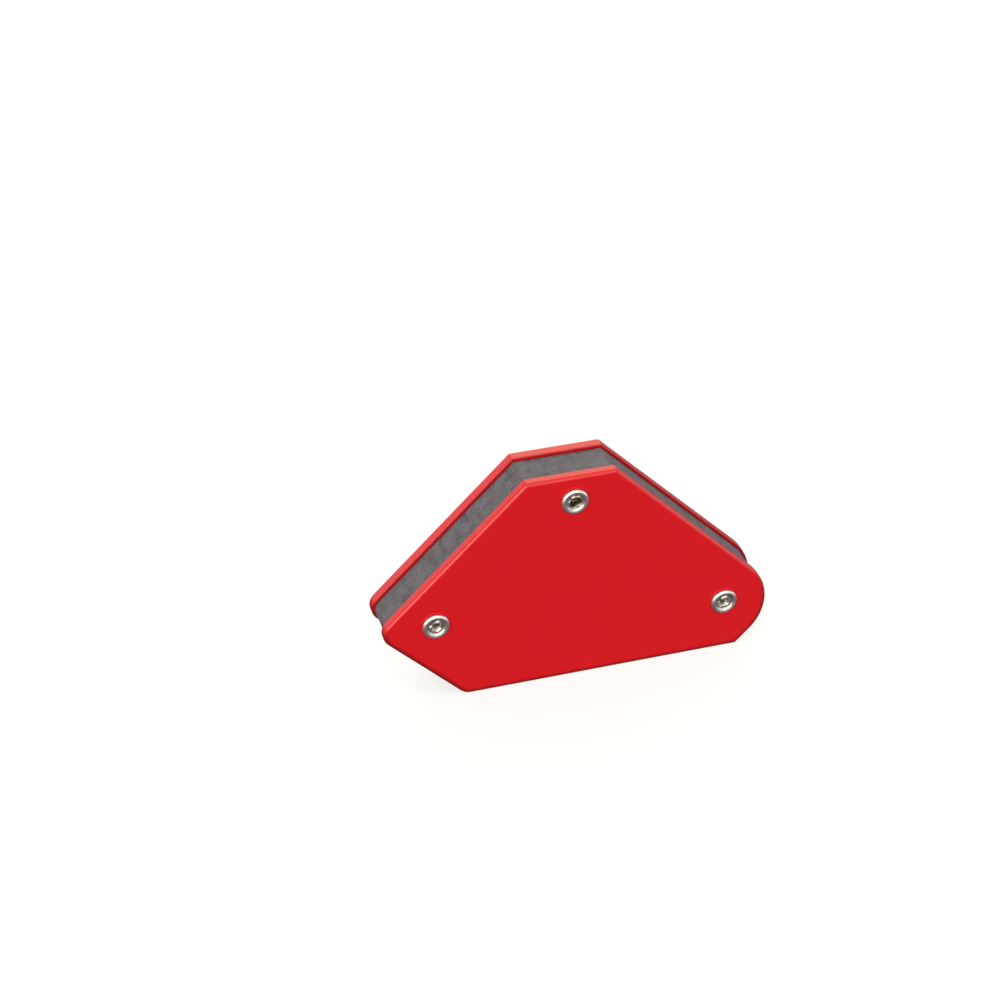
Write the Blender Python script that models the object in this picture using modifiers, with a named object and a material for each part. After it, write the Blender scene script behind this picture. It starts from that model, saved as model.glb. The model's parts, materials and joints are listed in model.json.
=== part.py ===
"""Welding magnet holder: two painted steel plates riveted over a recessed core that holds two ferrite
blocks. Metres, +Z up. It stands on its base edge, the front plate faces -Y, and the origin is under the
middle of the object, on the surface it stands on."""

import math

import bmesh
import bpy
from mathutils import Matrix, Vector

MM = 0.001
TINY = 0.001 * MM
CLEARANCE = 0.3 * MM

# Plate outline, seen from the front. Every edge lies at a multiple of 45 degrees.
BASE_LENGTH = 59.2 * MM
HEIGHT = 49.0 * MM
NOSE_REACH = 18.1 * MM
TOP_FLAT = 18.7 * MM
NOSE_RADIUS = 3.3 * MM
TAIL_RADIUS = 10.9 * MM
TOP_CORNER_RADIUS = 0.75 * MM
BASE_LEFT_RADIUS = 3.2 * MM
BASE_RIGHT_RADIUS = 0.85 * MM
FINE_RADIUS = 0.15 * MM
ARC_STEP = math.radians(7.5)
CAP_FACING = 0.9

# Stack, front to back.
PLATE_THICKNESS = 2.2 * MM
CORE_SPACE = 7.6 * MM
STACK_HALF = CORE_SPACE / 2 + PLATE_THICKNESS
CORE_RECESS = 0.6 * MM

# The front plate's front rim is rolled round, and every other rim is only broken.
FRONT_ROUNDING = 0.7 * MM
RIM_BREAK = 0.2 * MM
ROUNDING_SEGMENTS = 3

# Rivets, as (along the base from its left end, above the base).
RIVET_PLACES = {
    "rivet_top": (22.8 * MM, 43.3 * MM),
    "rivet_left": (-6.0 * MM, 18.8 * MM),
    "rivet_right": (55.9 * MM, 11.8 * MM),
}
SHANK_RADIUS = 1.8 * MM
HEAD_RADIUS = 2.85 * MM
HEAD_RIM = 0.12 * MM
RIVET_PROUD = 0.8 * MM
CREST_RADIUS = 2.2 * MM
BORE_RADIUS = 1.5 * MM
BORE_LIP = 0.3 * MM
BORE_DEPTH = 1.2 * MM
RIVET_SIDES = 24
PROFILE_STEPS = 4
HOLE_RADIUS = SHANK_RADIUS + CLEARANCE

# Ferrite blocks, side by side in the core's pockets.
MAGNET_WIDTH = 20.0 * MM
MAGNET_HEIGHT = 25.0 * MM
MAGNET_CHAMFER = 0.5 * MM
MAGNET_GAP = 2.5 * MM
MAGNETS_LEFT = 3.6 * MM
MAGNETS_BOTTOM = 6.0 * MM
POCKET_CORNER = 0.2 * MM
POCKET_SEGMENTS = 2

CORNER_LOSS = math.sqrt(2) - 1
TOP_LEFT_X = HEIGHT - 2 * NOSE_REACH
TOP_RIGHT_X = TOP_LEFT_X + TOP_FLAT
TAIL_X = (BASE_LENGTH + TOP_RIGHT_X + HEIGHT) / 2
TAIL_Z = TAIL_X - BASE_LENGTH
NOSE_TIP = -NOSE_REACH + CORNER_LOSS * NOSE_RADIUS
TAIL_TIP = TAIL_X - CORNER_LOSS * TAIL_RADIUS
MIDDLE_X = (NOSE_TIP + TAIL_TIP) / 2
THROUGH = 4 * STACK_HALF

FACING_FRONT = (math.pi / 2, 0.0, 0.0)
PLATE_CORNERS = [
    ((0.0, 0.0), BASE_LEFT_RADIUS),
    ((BASE_LENGTH, 0.0), BASE_RIGHT_RADIUS),
    ((TAIL_X, TAIL_Z), TAIL_RADIUS),
    ((TOP_RIGHT_X, HEIGHT), TOP_CORNER_RADIUS),
    ((TOP_LEFT_X, HEIGHT), TOP_CORNER_RADIUS),
    ((-NOSE_REACH, NOSE_REACH), NOSE_RADIUS),
]


def clear_scene():
    """Remove what the startup file put in the scene."""
    for obj in list(bpy.data.objects):
        bpy.data.objects.remove(obj, do_unlink=True)


def collection_named(name):
    """A new collection linked to the scene."""
    collection = bpy.data.collections.new(name)
    bpy.context.scene.collection.children.link(collection)
    return collection


def surface(name, colour, roughness, metallic):
    """A plain Principled material."""
    material = bpy.data.materials.new(name)
    material.use_nodes = True
    shader = material.node_tree.nodes["Principled BSDF"]
    shader.inputs["Base Color"].default_value = (*colour, 1.0)
    shader.inputs["Roughness"].default_value = roughness
    shader.inputs["Metallic"].default_value = metallic
    return material


def rounded_outline(corners, inset):
    """The outline through these corners, given anticlockwise with their radii, drawn inset inside them."""
    points = []
    for index, (corner, full_radius) in enumerate(corners):
        here = Vector(corner)
        radius = max(full_radius - inset, FINE_RADIUS)
        before = (here - Vector(corners[index - 1][0])).normalized()
        after = (Vector(corners[(index + 1) % len(corners)][0]) - here).normalized()
        inward_before = Vector((-before.y, before.x))
        inward_after = Vector((-after.y, after.x))
        inward = (inward_before + inward_after) / (1 + inward_before.dot(inward_after))
        centre = here + (inset + radius) * inward
        start = math.atan2(-inward_before.y, -inward_before.x)
        sweep = before.angle(after)
        steps = max(2, round(sweep / ARC_STEP))
        for step in range(steps + 1):
            angle = start + sweep * step / steps
            points.append(centre + radius * Vector((math.cos(angle), math.sin(angle))))
    return points


def extruded_mesh(name, outline, thickness):
    """The mesh of a flat outline drawn in X and Y, extruded evenly to both sides along Z."""
    curve = bpy.data.curves.new(name, "CURVE")
    curve.dimensions = "2D"
    curve.fill_mode = "BOTH"
    curve.extrude = thickness / 2
    spline = curve.splines.new("POLY")
    spline.points.add(len(outline) - 1)
    for point, place in zip(spline.points, outline):
        point.co = (place.x - MIDDLE_X, place.y, 0.0, 1.0)
    spline.use_cyclic_u = True
    drawn = bpy.data.objects.new(name, curve)
    bpy.context.scene.collection.objects.link(drawn)
    graph = bpy.context.evaluated_depsgraph_get()
    mesh = bpy.data.meshes.new_from_object(drawn.evaluated_get(graph))
    bpy.data.objects.remove(drawn)
    work = bmesh.new()
    work.from_mesh(mesh)
    bmesh.ops.remove_doubles(work, verts=work.verts, dist=TINY)
    for side in (-1, 1):
        cap = [face for face in work.faces if face.normal.z * side > CAP_FACING]
        bmesh.ops.dissolve_faces(work, faces=cap)
    bmesh.ops.recalc_face_normals(work, faces=work.faces)
    work.to_mesh(mesh)
    work.free()
    return mesh


def placed(name, mesh, collection, material, y=0.0, rotation=FACING_FRONT):
    """A named object with its own place in the stack."""
    obj = bpy.data.objects.new(name, mesh)
    obj.location.y = y
    obj.rotation_euler = rotation
    mesh.materials.clear()
    mesh.materials.append(material)
    collection.objects.link(obj)
    return obj


def weigh_rims(mesh, rolled):
    """Mark a plate's rims for a fine break, or its front rim, at +Z before it is turned, for full rounding."""
    weights = mesh.attributes.new("bevel_weight_edge", "FLOAT", "EDGE")
    for edge in mesh.edges:
        heights = [mesh.vertices[index].co.z for index in edge.vertices]
        if abs(heights[0] - heights[1]) < TINY:
            weights.data[edge.index].value = 1.0 if rolled and heights[0] > 0 else RIM_BREAK / FRONT_ROUNDING


def cut(obj, cutter):
    """Subtract the cutter from the object."""
    modifier = obj.modifiers.new(cutter.name, "BOOLEAN")
    modifier.operation = "DIFFERENCE"
    modifier.object = cutter


def cutter_from(name, work, cutters):
    """Turn a bmesh into a cutter, shown as wire and left out of renders."""
    mesh = bpy.data.meshes.new(name)
    work.to_mesh(mesh)
    work.free()
    obj = bpy.data.objects.new(name, mesh)
    obj.hide_render = True
    obj.display_type = "WIRE"
    cutters.objects.link(obj)
    return obj


def rivet_hole_cutter(cutters):
    """Three round cutters, one for each rivet, right through the stack."""
    work = bmesh.new()
    for along, up in RIVET_PLACES.values():
        place = Matrix.Translation((along - MIDDLE_X, 0.0, up)) @ Matrix.Rotation(math.pi / 2, 4, "X")
        bmesh.ops.create_cone(work, cap_ends=True, segments=RIVET_SIDES, radius1=HOLE_RADIUS,
                              radius2=HOLE_RADIUS, depth=THROUGH, matrix=place)
    return cutter_from("rivet_holes", work, cutters)


def magnet_centres():
    """The middles of the ferrite blocks, as (X, Z) in the object's frame."""
    up = MAGNETS_BOTTOM + MAGNET_HEIGHT / 2
    first = MAGNETS_LEFT + MAGNET_WIDTH / 2 - MIDDLE_X
    return {"magnet_left": (first, up), "magnet_right": (first + MAGNET_WIDTH + MAGNET_GAP, up)}


def box_into(work, centre, size):
    """Add a box of this size to the bmesh."""
    matrix = Matrix.Translation(centre) @ Matrix.Diagonal((*size, 1.0))
    return bmesh.ops.create_cube(work, size=1.0, matrix=matrix)["verts"]


def pocket_cutter(cutters):
    """The pockets for the ferrite blocks, with a fine radius in their corners."""
    work = bmesh.new()
    size = (MAGNET_WIDTH + 2 * CLEARANCE, THROUGH, MAGNET_HEIGHT + 2 * CLEARANCE)
    for x, z in magnet_centres().values():
        box_into(work, (x, 0.0, z), size)
    upright = [edge for edge in work.edges if abs(edge.verts[0].co.y - edge.verts[1].co.y) > STACK_HALF]
    bmesh.ops.bevel(work, geom=upright, offset=POCKET_CORNER, segments=POCKET_SEGMENTS, profile=0.5,
                    affect="EDGES")
    return cutter_from("magnet_pockets", work, cutters)


def plate(name, side, collection, material, holes):
    """A side plate. Side is -1 for the front, whose front rim is rolled round, and 1 for the back."""
    mesh = extruded_mesh(name, rounded_outline(PLATE_CORNERS, 0.0), PLATE_THICKNESS)
    weigh_rims(mesh, side < 0)
    obj = placed(name, mesh, collection, material, side * (CORE_SPACE + PLATE_THICKNESS) / 2)
    rounding = obj.modifiers.new("rounded_rims", "BEVEL")
    rounding.limit_method = "WEIGHT"
    rounding.width = FRONT_ROUNDING
    rounding.segments = ROUNDING_SEGMENTS
    cut(obj, holes)
    return obj


def core_frame(collection, material, holes, pockets):
    """The core between the plates, recessed behind their edges all the way round."""
    mesh = extruded_mesh("core_frame", rounded_outline(PLATE_CORNERS, CORE_RECESS), CORE_SPACE - 2 * CLEARANCE)
    obj = placed("core_frame", mesh, collection, material)
    cut(obj, holes)
    cut(obj, pockets)
    return obj


def magnet_block(name, collection, material):
    """A ferrite block that fills its pocket, with chamfered edges."""
    x, z = magnet_centres()[name]
    work = bmesh.new()
    box_into(work, (0.0, 0.0, 0.0), (MAGNET_WIDTH, CORE_SPACE - 2 * CLEARANCE, MAGNET_HEIGHT))
    mesh = bpy.data.meshes.new(name)
    work.to_mesh(mesh)
    work.free()
    obj = placed(name, mesh, collection, material, rotation=(0.0, 0.0, 0.0))
    obj.location.x = x
    obj.location.z = z
    chamfer = obj.modifiers.new("chamfer", "BEVEL")
    chamfer.width = MAGNET_CHAMFER
    chamfer.segments = 1
    return obj


def quarter(centre, radii, first, last):
    """Points of an ellipse between two angles in degrees, as (radius, height)."""
    points = []
    for step in range(PROFILE_STEPS + 1):
        angle = math.radians(first + (last - first) * step / PROFILE_STEPS)
        points.append((centre[0] + radii[0] * math.cos(angle), centre[1] + radii[1] * math.sin(angle)))
    return points


def rivet_profile():
    """Half the section of a clinched semi-tubular rivet: funnel, rolled rim, shank and factory head."""
    face = STACK_HALF + CLEARANCE
    crest = STACK_HALF + RIVET_PROUD
    lip = STACK_HALF + BORE_LIP
    inner_roll = quarter((CREST_RADIUS, lip), (CREST_RADIUS - BORE_RADIUS, crest - lip), 180, 90)
    outer_roll = quarter((CREST_RADIUS, face), (HEAD_RADIUS - CREST_RADIUS, crest - face), 90, 0)
    dome_start = face + HEAD_RIM
    dome = quarter((0.0, -dome_start), (HEAD_RADIUS, crest - dome_start), 0, -90)
    return [
        (0.0, lip - BORE_DEPTH),
        *inner_roll,
        *outer_roll[1:],
        (SHANK_RADIUS, face),
        (SHANK_RADIUS, -face),
        (HEAD_RADIUS, -face),
        *dome[:-1],
        (0.0, -crest),
    ]


def rivet_mesh():
    """The rivet's profile as a line of edges, ready to be turned."""
    profile = rivet_profile()
    mesh = bpy.data.meshes.new("rivet_profile")
    points = [(radius, 0.0, height) for radius, height in profile]
    mesh.from_pydata(points, [(index, index + 1) for index in range(len(points) - 1)], [])
    return mesh


def rivet(name, mesh, collection, material):
    """One rivet on its own place, turned about its shank."""
    along, up = RIVET_PLACES[name]
    obj = placed(name, mesh, collection, material)
    obj.location.x = along - MIDDLE_X
    obj.location.z = up
    turn = obj.modifiers.new("turned", "SCREW")
    turn.axis = "Z"
    turn.angle = 2 * math.pi
    turn.steps = RIVET_SIDES
    turn.render_steps = RIVET_SIDES
    turn.use_merge_vertices = True
    turn.merge_threshold = TINY
    turn.use_smooth_shade = True
    return obj


def build():
    """Model the whole holder."""
    clear_scene()
    parts = collection_named("welding_magnet_holder")
    cutters = collection_named("cutters")
    paint = surface("red_paint", (0.62, 0.018, 0.022), 0.35, 0.0)
    moulding = surface("grey_core", (0.16, 0.16, 0.165), 0.7, 0.0)
    ferrite = surface("ferrite", (0.035, 0.035, 0.038), 0.6, 0.0)
    plating = surface("plated_rivet", (0.72, 0.71, 0.69), 0.28, 1.0)
    holes = rivet_hole_cutter(cutters)
    pockets = pocket_cutter(cutters)
    pieces = [
        plate("front_plate", -1, parts, paint, holes),
        plate("back_plate", 1, parts, paint, holes),
        core_frame(parts, moulding, holes, pockets),
    ]
    pieces += [magnet_block(name, parts, ferrite) for name in magnet_centres()]
    turned = rivet_mesh()
    pieces += [rivet(name, turned, parts, plating) for name in RIVET_PLACES]
    holder = bpy.data.objects.new("holder", None)
    parts.objects.link(holder)
    for piece in pieces:
        piece.parent = holder


build()
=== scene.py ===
"""Looks for a welding magnet holder: two painted steel plates riveted over a moulded grey core.

Metres, +Z up. The holder stands on its base edge and the front plate faces -Y. Outline, depths and rivet
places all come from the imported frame."""

import json
import math
import random

import bmesh
import bpy
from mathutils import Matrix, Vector, noise
from mathutils.geometry import delaunay_2d_cdt


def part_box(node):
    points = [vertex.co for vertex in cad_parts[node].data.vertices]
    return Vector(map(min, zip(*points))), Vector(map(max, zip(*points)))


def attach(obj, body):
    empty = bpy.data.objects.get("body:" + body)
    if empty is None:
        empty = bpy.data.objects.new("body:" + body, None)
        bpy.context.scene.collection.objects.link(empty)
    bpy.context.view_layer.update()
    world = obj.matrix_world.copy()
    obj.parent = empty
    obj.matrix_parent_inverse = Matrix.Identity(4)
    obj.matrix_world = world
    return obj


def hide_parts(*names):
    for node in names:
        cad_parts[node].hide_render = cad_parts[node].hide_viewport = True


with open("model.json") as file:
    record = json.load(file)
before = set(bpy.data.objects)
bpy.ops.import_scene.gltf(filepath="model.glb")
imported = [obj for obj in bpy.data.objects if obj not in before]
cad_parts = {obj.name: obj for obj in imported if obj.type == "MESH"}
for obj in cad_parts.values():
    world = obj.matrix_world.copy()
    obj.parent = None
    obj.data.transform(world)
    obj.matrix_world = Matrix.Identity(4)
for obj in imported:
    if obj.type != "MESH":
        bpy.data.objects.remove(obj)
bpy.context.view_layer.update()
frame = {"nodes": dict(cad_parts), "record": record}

MM = 0.001

# The flat edges of the outline, anticlockwise seen from the front, with the radius of the corner after each.
EDGES = {
    "base_edge": 0.85 * MM,
    "lower_right_edge": 10.9 * MM,
    "upper_right_edge": 0.75 * MM,
    "top_edge": 0.75 * MM,
    "upper_left_edge": 3.3 * MM,
    "lower_left_edge": 3.2 * MM,
}
MAGNETS = ("magnet_left", "magnet_right")

# Each rivet's random seed, and how far its bore is opened into a slot.
RIVET_CLINCHES = {"rivet_top": (11, 1.3), "rivet_left": (12, 0.2), "rivet_right": (13, 0.1)}
RIVETS = tuple(RIVET_CLINCHES)

# The tightest corner that an inset outline keeps, the steps along an outline and across a face, and how far
# apart a face's rows of points lie. The last two are the triangulation's own settings.
FINE_RADIUS = 0.15 * MM
ARC_STEP = math.radians(5)
STRAIGHT_STEP = 1.2 * MM
CAP_STEP = 1.6 * MM
ROW_STEP = CAP_STEP * math.sqrt(0.75)
KEEP_INSIDE = 1
SNAP = 1e-6

# Plates. The front plate's front rim is rolled round, and every other rim is only broken.
FRONT_ROUNDING = 0.7 * MM
RIM_BREAK = 0.2 * MM
FRONT_ROUNDING_STEPS = 10
RIM_BREAK_STEPS = 4
EDGE_STEPS = 4
PLATE_WAVE = 0.012 * MM
PLATE_WAVE_LENGTH = 22 * MM
DISH_DEPTH = 0.05 * MM
DISH_WIDTH = 1.6 * MM
HOLE_RADIUS = 2.1 * MM
HOLE_SIDES = 48
HOLE_RINGS = (1.0, 1.2, 1.43, 1.7, 2.05, 2.5, 3.1)

# Painted shade on the plates' rims, a darker red where the outline faces down. It reaches this far onto a
# face, has its start share where the near rim begins to turn, is full once that has turned and fades by the
# far rim. Level is its share on an upright stretch, and turn is how fast it changes as the outline leans.
RIM_SHADE_REACH = 0.6 * MM
RIM_SHADE_START = 0.6
RIM_SHADE_FADE = 0.3
RIM_SHADE_LEVEL = 0.75
RIM_SHADE_TURN = 1.6

# Core.
CORE_RECESS = 0.6 * MM
CORE_GAP = 0.08 * MM
CORE_EDGE = 0.28 * MM
CORE_DEPTH_STEPS = 14
SINK_DEPTH = 0.07 * MM
CORE_WAVE = 0.035 * MM
CORE_WAVE_LENGTH = 6 * MM
POCKET_MARGIN = 0.15 * MM

# Rivets. Each level of the rolled end, from its middle over the groove to its crest, is a share of the
# head's radius, a height outside the plate, how strongly it is gathered into petals, and how much grime and
# painted shade darken it.
RIVET_SIDES = 120
ROLL_STEPS = 12
LEVEL_STEPS = 10
LEVELS = (
    (0.04, -0.8 * MM, 0.0, 0.8),
    (0.14, -0.25 * MM, 0.5, 0.6),
    (0.38, 0.45 * MM, 1.0, 0.1),
    (0.52, 0.3 * MM, 0.25, 0.55),
    (0.72, 0.62 * MM, 0.0, 0.0),
    (0.85, 0.67 * MM, 0.0, 0.0),
)
GROOVE_SHARE = LEVELS[3][0]
CREST_SHARE, RIM_HEIGHT = LEVELS[-1][:2]
RIM_MIDDLE = 0.24 * MM
ROLL_POWER = 1.4
RIM_FOOT_SHARE = 0.92
RIM_FOOT_STEPS = (0.35, 0.7, 1.0)
# Painted shade under the rim's foot, where it meets the plate.
RIM_FOOT_SHADE = 0.7
SHANK_SHARE = 0.62
PIT_DEPTH = 0.9 * MM
PETAL_HEIGHT = 0.13 * MM
PETAL_REACH = 0.24
PIT_DRIFT = 0.25 * MM
# Grime and painted shade in the valleys between petals.
VALLEY_GRIME_AND_SHADE = 0.6
RIM_RIPPLE = 0.02 * MM

# A bore opened into a slot: the way it lies, how much longer it gets than wide, and the grime and painted
# shade it adds.
SLOT_TURN = math.radians(25)
SLOT_SHARE = 0.8
SLOT_GRIME_AND_SHADE = 0.55

# The factory head: its rim's height, how far its foot is tucked in, and where on the rim it is full width.
DOME_RIM = 0.14 * MM
DOME_UNDERCUT = 0.97
DOME_SWELL = 0.4

# The gathered metal round a bore is a sum of three waves: petals, broad waves and fine ones.
STAR_SIZES = (0.6, 0.3, 0.2)
PETAL_COUNTS = (3, 4, 5)
BROAD_WAVES = 2
FINE_WAVES = 7

# Colours, in linear light.
RED = (0.67, 0.007, 0.0135)
BRIGHT_RED = (0.76, 0.014, 0.0175)
SHADE_RED = (0.13, 0.004, 0.005)
CORE_GREY = (0.112, 0.106, 0.13)
PLATING = (0.96, 0.95, 0.93)
# Brown of the grime and painted shade on the rivets.
GRIME_AND_SHADE = (0.11, 0.08, 0.042)
FERRITE = (0.035, 0.034, 0.037)
FLOOR_GREY = (0.36, 0.37, 0.39)
WARM = (1.0, 0.93, 0.68)

# How strong the painted shade is in the corner against the core, how wide that shade is, and how strong the
# painted shade on down-facing rims is.
CORNER_SHADE = 0.45
CORNER_WIDTH = 0.3 * MM
RIM_SHADE_STRENGTH = 0.95

FLOOR_GLOW = 0.68
FLOOR_RADIUS = 4.0
FLOOR_SIDES = 96

# The room's light at each height, from straight down (-1) to straight up (1).
ROOM = (
    (-1.0, (0.07, 0.05, 0.05)),
    (-0.5, (0.14, 0.11, 0.115)),
    (-0.25, (0.22, 0.19, 0.2)),
    (-0.08, (0.62, 0.61, 0.63)),
    (0.0, (1.0, 1.0, 1.0)),
    (0.15, (0.99, 0.99, 0.99)),
    (0.3, (0.94, 0.92, 0.87)),
    (0.5, (0.54, 0.54, 0.53)),
    (1.0, (0.44, 0.44, 0.44)),
)

# Each soft sun: the direction it is seen in, how many degrees across it is, and its irradiance.
SUNS = {
    "key": ((0.0, -0.7, 0.714), 70, 0.38),
    "left": ((-0.72, -0.54, 0.4), 32, 0.4),
    "behind": ((0.2, 0.75, 0.62), 48, 0.22),
}

# The camera: its lens and sensor in millimetres, its place, and how many degrees it looks down and to its
# right.
LENS = 86.317
SENSOR = 36.0
CAMERA_PLACE = (-0.128677, -0.376332, 0.308724)
LOOKS_DOWN = 34.131
LOOKS_RIGHT = 16.809


# ---------------------------------------------------------------- outline

def frame_corners():
    """The outline's corners as [(corner, radius)] in X and Z, where neighbouring mount faces meet."""
    mounts = {mount["name"]: mount for mount in frame["record"]["mounts"]}
    lines = []
    for name in EDGES:
        normal = Vector((mounts[name]["axis"][0], mounts[name]["axis"][2]))
        place = Vector((mounts[name]["pos_m"][0], mounts[name]["pos_m"][2]))
        lines.append((normal, normal.dot(place)))
    corners = []
    for index, radius in enumerate(EDGES.values()):
        (first, reach), (second, far) = lines[index], lines[(index + 1) % len(lines)]
        across = first.x * second.y - first.y * second.x
        corner = Vector((reach * second.y - far * first.y, far * first.x - reach * second.x)) / across
        corners.append((corner, radius))
    return corners


CORNERS = frame_corners()


def corner_turn(index):
    """The directions into and out of a corner, and the angle between them."""
    here = CORNERS[index][0]
    before = (here - CORNERS[index - 1][0]).normalized()
    after = (CORNERS[(index + 1) % len(CORNERS)][0] - here).normalized()
    return before, after, before.angle(after)


def setback(index):
    """How far a corner's arc reaches along its edges."""
    return CORNERS[index][1] * math.tan(corner_turn(index)[2] / 2)


def straight_count(index):
    """The number of steps on the straight stretch after a corner."""
    after = (index + 1) % len(CORNERS)
    length = (CORNERS[after][0] - CORNERS[index][0]).length - setback(index) - setback(after)
    return max(1, round(length / STRAIGHT_STEP))


def corner_arc(index, inset):
    """The points of one corner, drawn inset inside the outline."""
    here, full_radius = CORNERS[index]
    before, after, sweep = corner_turn(index)
    radius = max(full_radius - inset, FINE_RADIUS)
    out_before = Vector((before.y, -before.x))
    out_after = Vector((after.y, -after.x))
    inward = -(out_before + out_after) / (1 + out_before.dot(out_after))
    centre = here + (inset + radius) * inward
    start = math.atan2(out_before.y, out_before.x)
    steps = max(3, round(sweep / ARC_STEP))
    angles = [start + sweep * step / steps for step in range(steps + 1)]
    return [centre + radius * Vector((math.cos(angle), math.sin(angle))) for angle in angles]


def outline(inset):
    """The whole outline, with the same number of points at any inset."""
    arcs = [corner_arc(index, inset) for index in range(len(CORNERS))]
    points = []
    for index, arc in enumerate(arcs):
        points += arc
        following = arcs[(index + 1) % len(arcs)][0]
        count = straight_count(index)
        points += [arc[-1].lerp(following, step / count) for step in range(1, count)]
    return points


def circle(centre, radius, sides=HOLE_SIDES):
    """Points round a circle in X and Z."""
    turns = [2 * math.pi * side / sides for side in range(sides)]
    return [centre + radius * Vector((math.cos(turn), math.sin(turn))) for turn in turns]


def rectangle(lowest, highest):
    """The four corners of an upright rectangle, anticlockwise."""
    return [Vector(lowest), Vector((highest[0], lowest[1])), Vector(highest), Vector((lowest[0], highest[1]))]


# ---------------------------------------------------------------- places read from the frame

def flat_box(node):
    """A node's box seen from the front, as lowest and highest (X, Z)."""
    low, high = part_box(node)
    return Vector((low.x, low.z)), Vector((high.x, high.z))


RIVET_CENTRES = {name: sum(flat_box(name), Vector((0, 0))) / 2 for name in RIVETS}
RIVET_RADIUS = (flat_box(RIVETS[0])[1].x - flat_box(RIVETS[0])[0].x) / 2
FRONT_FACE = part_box("front_plate")[0].y
FRONT_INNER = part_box("front_plate")[1].y
BACK_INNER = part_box("back_plate")[0].y
BACK_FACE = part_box("back_plate")[1].y


# ---------------------------------------------------------------- slabs: rings bridged, caps triangulated

def ring(work, points, y):
    """A loop of vertices at one depth."""
    return [work.verts.new((point.x, y, point.y)) for point in points]


def bridge(work, first, second):
    """Quads between two loops of equal length."""
    for index in range(len(first)):
        after = (index + 1) % len(first)
        work.faces.new((first[index], first[after], second[after], second[index]))


def inside(point, loop):
    """Whether a point lies inside a convex loop drawn anticlockwise."""
    befores = (loop[index - 1] for index in range(len(loop)))
    return all((after - before).cross(point - before) > 0 for before, after in zip(befores, loop))


def scattered(keep):
    """A staggered grid of points over the outline, where keep allows them."""
    low = Vector((min(c.x for c, _ in CORNERS), min(c.y for c, _ in CORNERS)))
    high = Vector((max(c.x for c, _ in CORNERS), max(c.y for c, _ in CORNERS)))
    points = []
    for row in range(1, int((high.y - low.y) / ROW_STEP) + 1):
        shift = CAP_STEP / 2 * (row % 2)
        for column in range(int((high.x - low.x) / CAP_STEP) + 1):
            point = Vector((low.x + shift + column * CAP_STEP, low.y + row * ROW_STEP))
            if keep(point):
                points.append(point)
    return points


def cap(work, border, holes, inner, in_hole):
    """Triangles between a border loop and hole loops, through the loose inner vertices."""
    verts = [*border, *(vert for hole in holes for vert in hole), *inner]
    flat = [Vector((vert.co.x, vert.co.z)) / MM for vert in verts]
    edges = []
    start = 0
    for loop in (border, *holes):
        count = len(loop)
        edges += [(start + index, start + (index + 1) % count) for index in range(count)]
        start += count
    places, _, faces, origins, _, _ = delaunay_2d_cdt(flat, edges, [], KEEP_INSIDE, SNAP)
    for face in faces:
        middle = sum((Vector(places[index]) for index in face), Vector((0, 0))) / len(face) * MM
        if in_hole(middle):
            continue
        work.faces.new([verts[origins[index][0]] for index in face])


def finished(name, work, node, material):
    """Turn the bmesh into a smooth piece that rides on the root body and stands for its CAD node."""
    bmesh.ops.recalc_face_normals(work, faces=work.faces)
    mesh = bpy.data.meshes.new(name)
    work.to_mesh(mesh)
    work.free()
    mesh.shade_smooth()
    mesh.materials.append(material)
    piece = bpy.data.objects.new(name, mesh)
    bpy.context.scene.collection.objects.link(piece)
    normals = piece.modifiers.new("weighted_normals", "WEIGHTED_NORMAL")
    normals.mode = "FACE_AREA"
    normals.weight = 100
    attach(piece, "root")
    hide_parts(node)


# ---------------------------------------------------------------- plates

def rim_section(rounding, steps):
    """Rings across a plate's edge, with its front rim rounded like this: inset, depth behind the front face
    and how much painted shade it gets where it faces down."""
    thickness = FRONT_INNER - FRONT_FACE
    section = [(rounding + RIM_SHADE_REACH, 0.0, 0.0)]
    for step in range(steps + 1):
        turn = math.pi / 2 * step / steps
        rim_shade = RIM_SHADE_START + (1 - RIM_SHADE_START) * math.sin(turn)
        section.append((rounding * (1 - math.sin(turn)), rounding * (1 - math.cos(turn)), rim_shade))
    straight = thickness - rounding - RIM_BREAK
    for step in range(1, EDGE_STEPS):
        section.append((0.0, rounding + straight * step / EDGE_STEPS, 1 - RIM_SHADE_FADE * step / EDGE_STEPS))
    for step in range(RIM_BREAK_STEPS + 1):
        turn = math.pi / 2 * step / RIM_BREAK_STEPS
        depth = thickness - RIM_BREAK * (1 - math.sin(turn))
        section.append((RIM_BREAK * (1 - math.cos(turn)), depth, 1 - RIM_SHADE_FADE))
    section.append((RIM_BREAK + RIM_SHADE_REACH, thickness, 0.0))
    return section


def rim_shade_ring(work, rim_shade, points, y, amount):
    """A loop at one depth, darkened with painted shade by this amount where the outline faces down and not
    shaded where it faces up.
    """
    loop = ring(work, points, y)
    for index, vert in enumerate(loop):
        along = (points[(index + 1) % len(points)] - points[index - 1]).normalized()
        down = min(max(RIM_SHADE_LEVEL + RIM_SHADE_TURN * along.x, 0.0), 1.0)
        vert[rim_shade] = amount * down
    return loop


def near_rivet(point, reach):
    """Whether a point lies within reach of a rivet's axis."""
    return any((point - centre).length < reach for centre in RIVET_CENTRES.values())


def plate_bend(x, z):
    """How far a plate stands in from flat: a slow wave, and a shallow dish round each rivet."""
    place = Vector((x, 0.0, z)) / PLATE_WAVE_LENGTH
    bend = PLATE_WAVE * noise.noise(place)
    for centre in RIVET_CENTRES.values():
        reach = max((Vector((x, z)) - centre).length - RIVET_RADIUS, 0.0)
        bend += DISH_DEPTH * math.exp(-(reach / DISH_WIDTH) ** 2)
    return bend


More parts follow.
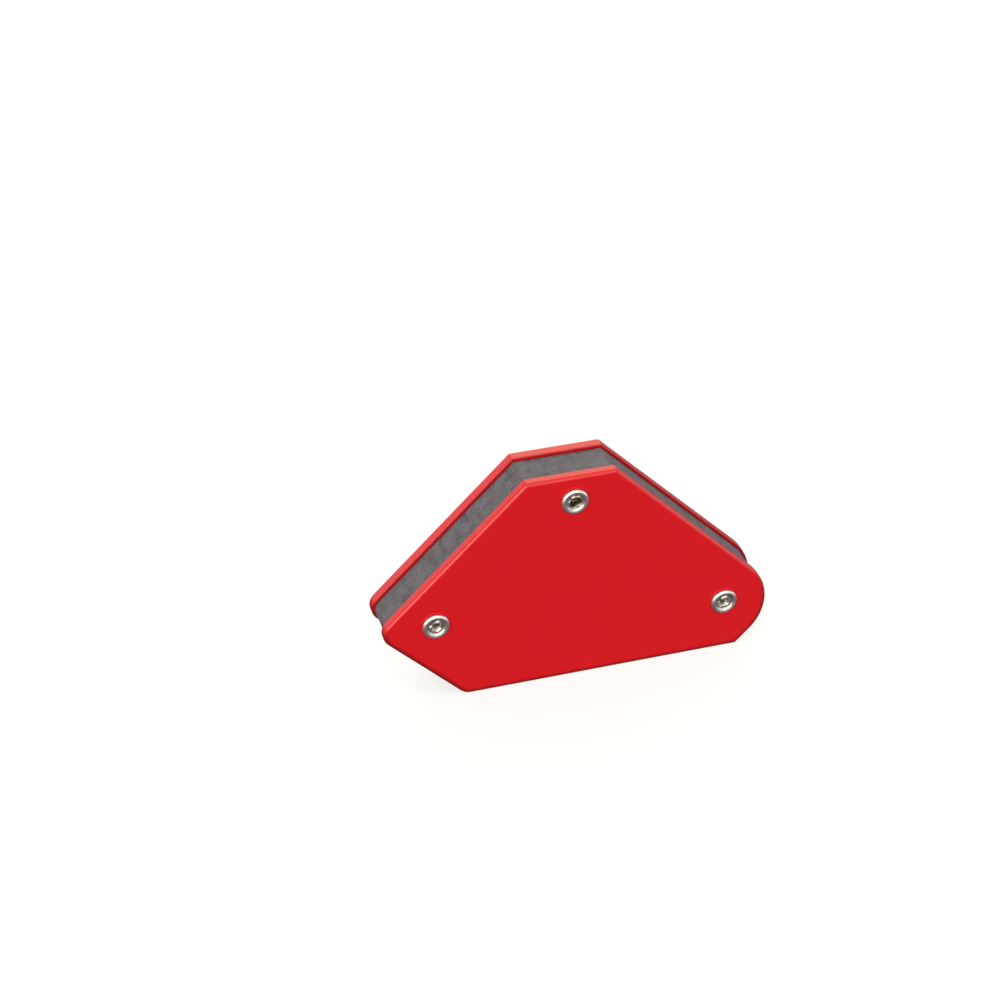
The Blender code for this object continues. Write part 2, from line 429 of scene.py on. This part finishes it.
def plate(name, node, section, front, inward, material):
    """A painted plate with its front face at this depth, bent inward, which is 1 or -1 along Y."""
    work = bmesh.new()
    rim_shade = work.verts.layers.float.new("rim_shade")
    rings = [rim_shade_ring(work, rim_shade, outline(inset), front + depth, amount)
             for inset, depth, amount in section]
    for first, second in zip(rings, rings[1:]):
        bridge(work, first, second)
    far = HOLE_RADIUS * HOLE_RINGS[-1] + CAP_STEP / 2
    within = outline(FRONT_ROUNDING + RIM_SHADE_REACH + CAP_STEP / 2)
    spread = scattered(lambda p: not near_rivet(p, far) and inside(p, within))
    spread += [point for centre in RIVET_CENTRES.values() for share in HOLE_RINGS[1:]
               for point in circle(centre, HOLE_RADIUS * share) if inside(point, within)]
    walls = []
    for border, depth in ((rings[0], 0.0), (rings[-1], section[-1][1])):
        y = front + depth
        holes = [ring(work, circle(centre, HOLE_RADIUS), y) for centre in RIVET_CENTRES.values()]
        cap(work, border, holes, ring(work, spread, y), lambda p: near_rivet(p, HOLE_RADIUS))
        walls.append(holes)
    for first, second in zip(*walls):
        bridge(work, first, second)
    for vert in work.verts:
        vert.co.y += inward * plate_bend(vert.co.x, vert.co.z)
    finished(name, work, node, material)


# ---------------------------------------------------------------- core

def core_dip(x, y, z):
    """How far the moulded core stands back: sunk along its middle, with a slow wave."""
    across = 2 * y / (BACK_INNER - FRONT_INNER)
    place = Vector((x, y, z)) / CORE_WAVE_LENGTH
    return SINK_DEPTH * (1 - across ** 4) + CORE_WAVE * noise.noise(place)


def core(material):
    """The moulded core: recessed all round, open where the ferrite blocks and the rivets go through."""
    work = bmesh.new()
    low, high = FRONT_INNER + CORE_GAP, BACK_INNER - CORE_GAP
    pockets = []
    for name in MAGNETS:
        lowest, highest = flat_box(name)
        margin = Vector((POCKET_MARGIN, POCKET_MARGIN))
        pockets.append((lowest - margin, highest + margin))

    def in_pocket(point):
        return any(a.x < point.x < b.x and a.y < point.y < b.y for a, b in pockets)

    within = outline(CORE_RECESS + CAP_STEP)

    def clear(point):
        near_hole = near_rivet(point, HOLE_RADIUS + CAP_STEP / 2)
        return not near_hole and not in_pocket(point) and inside(point, within)

    middles = [low + (high - low) * step / CORE_DEPTH_STEPS for step in range(1, CORE_DEPTH_STEPS)]
    depths = [low + CORE_EDGE / 2, low + CORE_EDGE, *middles, high - CORE_EDGE, high - CORE_EDGE / 2]
    rings = [ring(work, outline(CORE_RECESS + CORE_EDGE), low)]
    for y in depths:
        rim = min(y - low, high - y)
        broken = CORE_EDGE - math.sqrt(max(CORE_EDGE ** 2 - (CORE_EDGE - min(rim, CORE_EDGE)) ** 2, 0.0))
        rings.append(ring(work, outline(CORE_RECESS + broken), y))
    rings.append(ring(work, outline(CORE_RECESS + CORE_EDGE), high))
    for loop in rings[1:-1]:
        dips = [core_dip(*vert.co) for vert in loop]
        places = [vert.co.copy() for vert in loop]
        for index, vert in enumerate(loop):
            ahead = places[(index + 1) % len(loop)]
            along = (ahead - places[index - 1]).normalized()
            vert.co += Vector((-along.z, 0.0, along.x)) * dips[index]
    for first, second in zip(rings, rings[1:]):
        bridge(work, first, second)
    walls = []
    grid = scattered(clear)
    for border, y in ((rings[0], low), (rings[-1], high)):
        holes = [ring(work, circle(centre, HOLE_RADIUS), y) for centre in RIVET_CENTRES.values()]
        holes += [ring(work, rectangle(*pocket), y) for pocket in pockets]
        cap(work, border, holes, ring(work, grid, y), lambda p: near_rivet(p, HOLE_RADIUS) or in_pocket(p))
        walls.append(holes)
    for first, second in zip(*walls):
        bridge(work, first, second)
    finished("moulded_core", work, "core_frame", material)


# ---------------------------------------------------------------- rivets

def eased(index, share):
    """How far the height has gone between two levels: straight in the pit, rounded out at the petals and the
    crest, and rounded at both ends elsewhere."""
    if index == 0:
        return share
    if index in (1, len(LEVELS) - 2):
        return math.sin(math.pi / 2 * share)
    return (1 - math.cos(math.pi * share)) / 2


def rivet_section():
    """Rings of the rolled end from its middle out: radius, height outside the plate, petals, and grime with
    painted shade.
    """
    section = []
    for index, (near, far) in enumerate(zip(LEVELS, LEVELS[1:])):
        for step in range(LEVEL_STEPS):
            share = step / LEVEL_STEPS
            radius, height, petals, grime_and_shade_level = (a + (b - a) * share for a, b in zip(near, far))
            height = near[1] + (far[1] - near[1]) * eased(index, share)
            section.append((radius * RIVET_RADIUS, height, petals, grime_and_shade_level))
    crest = CREST_SHARE * RIVET_RADIUS
    for step in range(ROLL_STEPS + 1):
        turn = math.pi / 2 * step / ROLL_STEPS
        out, up = math.sin(turn) ** (2 / ROLL_POWER), math.cos(turn) ** (2 / ROLL_POWER)
        radius = crest + (RIVET_RADIUS - crest) * out
        section.append((radius, RIM_MIDDLE + (RIM_HEIGHT - RIM_MIDDLE) * up, 0.0, 0.0))
    for share in RIM_FOOT_STEPS:
        radius = RIVET_RADIUS * (1 - (1 - RIM_FOOT_SHARE) * share ** 2)
        section.append((radius, RIM_MIDDLE * (1 - share), 0.0, RIM_FOOT_SHADE * share))
    return section


def star(turn, phases, petal_count):
    """How the clinched metal gathers round the bore, from about -1 to 1."""
    waves = zip(STAR_SIZES, (petal_count, BROAD_WAVES, FINE_WAVES), phases)
    return sum(size * math.cos(count * turn + phase) for size, count, phase in waves)


def dome_section():
    """(radius, height outside the back face) of the factory head, from its foot to just off its middle."""
    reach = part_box(RIVETS[0])[1].y - BACK_FACE
    section = [(RIVET_RADIUS * DOME_UNDERCUT, 0.0), (RIVET_RADIUS, DOME_RIM * DOME_SWELL)]
    section.append((RIVET_RADIUS, DOME_RIM))
    for step in range(1, ROLL_STEPS):
        turn = math.pi / 2 * step / ROLL_STEPS
        section.append((RIVET_RADIUS * math.cos(turn), DOME_RIM + (reach - DOME_RIM) * math.sin(turn)))
    return section


def turned_ring(work, centre, radius, y):
    """A plain loop round a rivet's axis."""
    turns = [2 * math.pi * side / RIVET_SIDES for side in range(RIVET_SIDES)]
    return [work.verts.new((centre.x + radius * math.cos(turn), y, centre.y + radius * math.sin(turn)))
            for turn in turns]


def clinched_ring(work, grime_and_shade, centre, level, clinch):
    """A loop of the rolled end, gathered into petals. Inside the groove it is pulled off centre with the pit
    and spread into the slot."""
    radius, height, petals, grime_and_shade_level = level
    phases, petal_count, drift, opening = clinch
    groove = GROOVE_SHARE * RIVET_RADIUS
    pull = max(0.0, 1 - radius / groove)
    middle = centre + drift * pull
    loop = []
    for side in range(RIVET_SIDES):
        turn = 2 * math.pi * side / RIVET_SIDES
        gather = star(turn, phases, petal_count) * petals
        ripple = RIM_RIPPLE * math.cos(BROAD_WAVES * turn + phases[3]) * max(height, 0.0) / RIM_HEIGHT
        slot = 1 + SLOT_SHARE * math.cos(2 * (turn - SLOT_TURN))
        share = radius * (1 + PETAL_REACH * gather) / groove
        reach = groove * (share ** (1 / (1 + opening * slot)) if share < 1 else share)
        y = FRONT_FACE - height - PETAL_HEIGHT * gather + ripple
        vert = work.verts.new((middle.x + reach * math.cos(turn), y, middle.y + reach * math.sin(turn)))
        # Grime and painted shade gather in the pit, the slot and the valleys between petals.
        vert[grime_and_shade] = min(1.0, grime_and_shade_level + SLOT_GRIME_AND_SHADE * opening * pull + VALLEY_GRIME_AND_SHADE * max(0.0, -gather))
        loop.append(vert)
    return loop


def rivet(node, seed, opening, material):
    """A clinched tubular rivet: rolled rim and starred bore in front, domed head behind."""
    work = bmesh.new()
    grime_and_shade = work.verts.layers.float.new("grime_and_shade")
    centre = RIVET_CENTRES[node]
    draw = random.Random(seed)
    phases = [draw.uniform(0, 2 * math.pi) for _ in range(4)]
    petal_count = draw.choice(PETAL_COUNTS)
    heading = draw.uniform(0, 2 * math.pi)
    drift = PIT_DRIFT * Vector((math.cos(heading), math.sin(heading)))
    clinch = (phases, petal_count, drift, opening)
    rings = [clinched_ring(work, grime_and_shade, centre, level, clinch) for level in rivet_section()]
    shank = SHANK_SHARE * RIVET_RADIUS
    rings.append(turned_ring(work, centre, shank, FRONT_FACE))
    rings.append(turned_ring(work, centre, shank, BACK_FACE))
    rings += [turned_ring(work, centre, radius, BACK_FACE + height) for radius, height in dome_section()]
    for first, second in zip(rings, rings[1:]):
        bridge(work, first, second)
    apex = work.verts.new((centre.x + drift.x, FRONT_FACE + PIT_DEPTH, centre.y + drift.y))
    apex[grime_and_shade] = 1.0
    crown = work.verts.new((centre.x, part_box(node)[1].y, centre.y))
    for loop, tip in ((rings[0], apex), (rings[-1], crown)):
        for index in range(RIVET_SIDES):
            work.faces.new((loop[index], loop[(index + 1) % RIVET_SIDES], tip))
    finished("clinched_" + node, work, node, material)


# ---------------------------------------------------------------- materials

def new_material(name):
    """A material, its Principled shader and a function that adds a node with given input values."""
    material = bpy.data.materials.new(name)
    material.use_nodes = True
    tree = material.node_tree
    shader = tree.nodes["Principled BSDF"]

    def add(kind, inputs=None, **settings):
        node = tree.nodes.new(kind)
        for key, value in settings.items():
            setattr(node, key, value)
        for key, value in (inputs or {}).items():
            socket = node.inputs[key]
            if isinstance(value, bpy.types.NodeSocket):
                tree.links.new(value, socket)
            else:
                socket.default_value = value
        return node

    return material, shader, add, tree.links.new


def noise_at(add, coordinates, size, detail=2.0, roughness=0.5, stretch=None):
    """Noise with features of about this size in metres, from 0 to 1."""
    vector = coordinates
    if stretch:
        vector = add("ShaderNodeMapping", {"Vector": coordinates, "Scale": stretch}).outputs["Vector"]
    inputs = {"Vector": vector, "Scale": 1 / size, "Detail": detail, "Roughness": roughness}
    return add("ShaderNodeTexNoise", inputs).outputs["Fac"]


def ranged(add, value, low, high, start=0.3, end=0.7):
    """The value mapped from its start and end to low and high."""
    inputs = {"Value": value, "From Min": start, "From Max": end, "To Min": low, "To Max": high}
    return add("ShaderNodeMapRange", inputs).outputs["Result"]


def mixed(add, factor, first, second):
    """Two colours mixed by a factor. The Mix node's colours are sockets 6 and 7, and its result output 2."""
    node = add("ShaderNodeMix", data_type="RGBA")
    for socket, value in ((0, factor), (6, first), (7, second)):
        if isinstance(value, bpy.types.NodeSocket):
            node.id_data.links.new(value, node.inputs[socket])
        elif isinstance(value, tuple):
            node.inputs[socket].default_value = (*value, 1.0)
        else:
            node.inputs[socket].default_value = value
    return node.outputs[2]


def math_node(add, operation, first, second):
    """One arithmetic step."""
    return add("ShaderNodeMath", {0: first, 1: second}, operation=operation).outputs[0]


def weighted_sum(add, first, second, weight):
    """The first value plus the second times its weight."""
    return math_node(add, "ADD", first, math_node(add, "MULTIPLY", second, weight))


def shaded(colour, factor):
    """A colour made lighter or darker by a factor."""
    return tuple(factor * part for part in colour)


def red_paint():
    """Gloss red enamel with a fine orange peel, with painted shade in the corner against the core and on the
    down-facing rims.
    """
    material, shader, add, link = new_material("red_paint")
    place = add("ShaderNodeTexCoord").outputs["Object"]
    cloud = noise_at(add, place, size=14 * MM)
    colour = mixed(add, ranged(add, cloud, low=0.0, high=0.15), RED, BRIGHT_RED)
    # Painted shade: the paint turns dark red towards the core on the plates' inner faces.
    depth = add("ShaderNodeSeparateXYZ", {"Vector": place}).outputs["Y"]
    depth = add("ShaderNodeMath", {0: depth}, operation="ABSOLUTE").outputs[0]
    inner, outer = BACK_INNER, BACK_INNER + CORNER_WIDTH
    corner = ranged(add, depth, low=CORNER_SHADE, high=0.0, start=inner, end=outer)
    colour = mixed(add, corner, colour, SHADE_RED)
    # Painted shade: the rims turn dark red where the outline faces down.
    rim_shade = add("ShaderNodeAttribute", attribute_name="rim_shade").outputs["Fac"]
    colour = mixed(add, math_node(add, "MULTIPLY", rim_shade, RIM_SHADE_STRENGTH), colour, SHADE_RED)
    link(colour, shader.inputs["Base Color"])
    smear = noise_at(add, place, size=5 * MM, detail=1.0)
    link(ranged(add, smear, low=0.2, high=0.265, start=0.2, end=0.8), shader.inputs["Roughness"])
    shader.inputs["Specular IOR Level"].default_value = 0.5
    shader.inputs["Coat Weight"].default_value = 0.1
    shader.inputs["Coat Roughness"].default_value = 0.12
    peel = noise_at(add, place, size=0.9 * MM)
    wave = noise_at(add, place, size=4 * MM, detail=1.0)
    height = weighted_sum(add, peel, wave, weight=2.0)
    bump = add("ShaderNodeBump", {"Strength": 1.0, "Distance": 0.006 * MM, "Height": height})
    link(bump.outputs["Normal"], shader.inputs["Normal"])
    link(bump.outputs["Normal"], shader.inputs["Coat Normal"])
    return material


def grey_moulding():
    """Filled plastic: dull grey, mottled and faintly streaked across the edge, with a fine grain."""
    material, shader, add, link = new_material("grey_moulding")
    place = add("ShaderNodeTexCoord").outputs["Object"]
    blotch = noise_at(add, place, size=2.6 * MM, detail=4.0, roughness=0.65)
    streak = noise_at(add, place, size=1.1 * MM, stretch=(1.0, 0.22, 1.0))
    grain = noise_at(add, place, size=0.42 * MM, detail=3.0, roughness=0.65)
    light = shaded(CORE_GREY, 1.5)
    dark = shaded(CORE_GREY, 0.55)
    colour = mixed(add, ranged(add, blotch, low=0.0, high=1.0, start=0.35, end=0.65), dark, light)
    colour = mixed(add, ranged(add, streak, low=0.0, high=0.6), colour, light)
    colour = mixed(add, ranged(add, grain, low=0.0, high=0.85, start=0.45, end=0.7), colour, dark)
    link(colour, shader.inputs["Base Color"])
    link(ranged(add, blotch, low=0.5, high=0.68), shader.inputs["Roughness"])
    shader.inputs["Specular IOR Level"].default_value = 0.4
    height = weighted_sum(add, grain, streak, weight=1.4)
    bump = add("ShaderNodeBump", {"Strength": 1.0, "Distance": 0.03 * MM, "Height": height})
    link(bump.outputs["Normal"], shader.inputs["Normal"])
    return material


def plated_steel():
    """Bright plating on the rivets, dull and brown with grime and painted shade in the bore, the groove and
    under the rim.
    """
    material, shader, add, link = new_material("plated_steel")
    place = add("ShaderNodeTexCoord").outputs["Object"]
    grime_and_shade_level = add("ShaderNodeAttribute", attribute_name="grime_and_shade").outputs["Fac"]
    patch = noise_at(add, place, size=0.7 * MM, detail=3.0, roughness=0.6)
    fine = noise_at(add, place, size=0.16 * MM)
    colour = mixed(add, ranged(add, patch, low=0.0, high=0.6), PLATING, shaded(PLATING, 0.85))
    cover = ranged(add, patch, low=0.85, high=1.0, start=0.35, end=0.6)
    grime_and_shade_cover = math_node(add, "MULTIPLY", grime_and_shade_level, cover)
    colour = mixed(add, grime_and_shade_cover, colour, GRIME_AND_SHADE)
    link(colour, shader.inputs["Base Color"])
    shader.inputs["Metallic"].default_value = 1.0
    worn = weighted_sum(add, ranged(add, fine, low=0.285, high=0.36), grime_and_shade_level, weight=0.12)
    link(worn, shader.inputs["Roughness"])
    height = weighted_sum(add, fine, patch, weight=2.0)
    bump = add("ShaderNodeBump", {"Strength": 1.0, "Distance": 0.012 * MM, "Height": height})
    link(bump.outputs["Normal"], shader.inputs["Normal"])
    return material


def sintered_ferrite():
    """Dark ferrite with a fine grain and grinding marks."""
    material, shader, add, link = new_material("sintered_ferrite")
    place = add("ShaderNodeTexCoord").outputs["Object"]
    grain = noise_at(add, place, size=0.3 * MM, detail=3.0)
    marks = noise_at(add, place, size=0.5 * MM, stretch=(1.0, 1.0, 0.06))
    colour = mixed(add, ranged(add, grain, low=0.0, high=1.0), FERRITE, shaded(FERRITE, 1.6))
    link(colour, shader.inputs["Base Color"])
    link(ranged(add, marks, low=0.4, high=0.6), shader.inputs["Roughness"])
    height = math_node(add, "ADD", grain, marks)
    bump = add("ShaderNodeBump", {"Strength": 1.0, "Distance": 0.01 * MM, "Height": height})
    link(bump.outputs["Normal"], shader.inputs["Normal"])
    return material


# ---------------------------------------------------------------- stage

def floor():
    """A plain pale floor under the base edge, glowing a little so that shadows on it stay faint."""
    work = bmesh.new()
    bmesh.ops.create_circle(work, cap_ends=True, segments=FLOOR_SIDES, radius=FLOOR_RADIUS)
    mesh = bpy.data.meshes.new("floor")
    work.to_mesh(mesh)
    work.free()
    material, shader, _, _ = new_material("pale_floor")
    shader.inputs["Base Color"].default_value = (*FLOOR_GREY, 1.0)
    shader.inputs["Emission Color"].default_value = (1.0, 1.0, 1.0, 1.0)
    shader.inputs["Emission Strength"].default_value = FLOOR_GLOW
    shader.inputs["Roughness"].default_value = 0.75
    shader.inputs["Specular IOR Level"].default_value = 0.1
    mesh.materials.append(material)
    ground = bpy.data.objects.new("floor", mesh)
    ground.visible_diffuse = False
    ground.visible_glossy = False
    bpy.context.scene.collection.objects.link(ground)


def sun(name, toward, width, irradiance):
    """A soft sun seen in this direction, this many degrees across. Irradiance 1 lights white to white."""
    light = bpy.data.lights.new(name, "SUN")
    light.angle = math.radians(width)
    light.energy = math.pi * irradiance
    light.color = WARM
    lamp = bpy.data.objects.new(name, light)
    lamp.rotation_euler = Vector(toward).to_track_quat("Z", "Y").to_euler()
    bpy.context.scene.collection.objects.link(lamp)


def room():
    """A pale room that darkens overhead and underfoot."""
    world = bpy.data.worlds.new("room")
    world.use_nodes = True
    tree = world.node_tree
    direction = tree.nodes.new("ShaderNodeTexCoord").outputs["Generated"]
    parts = tree.nodes.new("ShaderNodeSeparateXYZ")
    tree.links.new(direction, parts.inputs["Vector"])
    height = tree.nodes.new("ShaderNodeMapRange")
    height.inputs["From Min"].default_value = -1.0
    tree.links.new(parts.outputs["Z"], height.inputs["Value"])
    ramp = tree.nodes.new("ShaderNodeValToRGB")
    tree.links.new(height.outputs["Result"], ramp.inputs["Fac"])
    stops = ramp.color_ramp.elements
    while len(stops) < len(ROOM):
        stops.new(1.0)
    for stop, (level, radiance) in zip(stops, ROOM):
        stop.position = (level + 1) / 2
        stop.color = (*radiance, 1.0)
    tree.links.new(ramp.outputs["Color"], tree.nodes["Background"].inputs["Color"])
    bpy.context.scene.world = world


def lighting():
    """The room, a broad key from the front, a small light from the left and a broad one behind."""
    room()
    for name, (toward, width, irradiance) in SUNS.items():
        sun(name, toward, width, irradiance)
    bpy.context.scene.view_settings.view_transform = "Standard"


def camera():
    """A long lens looking down on the front plate from its left."""
    data = bpy.data.cameras.new("camera")
    data.lens = LENS
    data.sensor_width = SENSOR
    eye = bpy.data.objects.new("camera", data)
    eye.location = CAMERA_PLACE
    eye.rotation_euler = (math.radians(90 - LOOKS_DOWN), 0.0, math.radians(-LOOKS_RIGHT))
    bpy.context.scene.collection.objects.link(eye)
    bpy.context.scene.camera = eye


# ---------------------------------------------------------------- the whole scene

paint = red_paint()
plating = plated_steel()
rolled = rim_section(FRONT_ROUNDING, FRONT_ROUNDING_STEPS)
broken = rim_section(RIM_BREAK, RIM_BREAK_STEPS)
plate("painted_front_plate", "front_plate", rolled, FRONT_FACE, 1, paint)
plate("painted_back_plate", "back_plate", broken, BACK_INNER, -1, paint)
core(grey_moulding())
for rivet_node, (seed, opening) in RIVET_CLINCHES.items():
    rivet(rivet_node, seed, opening, plating)
ferrite = sintered_ferrite()
for magnet in MAGNETS:
    block = frame["nodes"][magnet]
    block.data.materials.clear()
    block.data.materials.append(ferrite)
floor()
lighting()
camera()
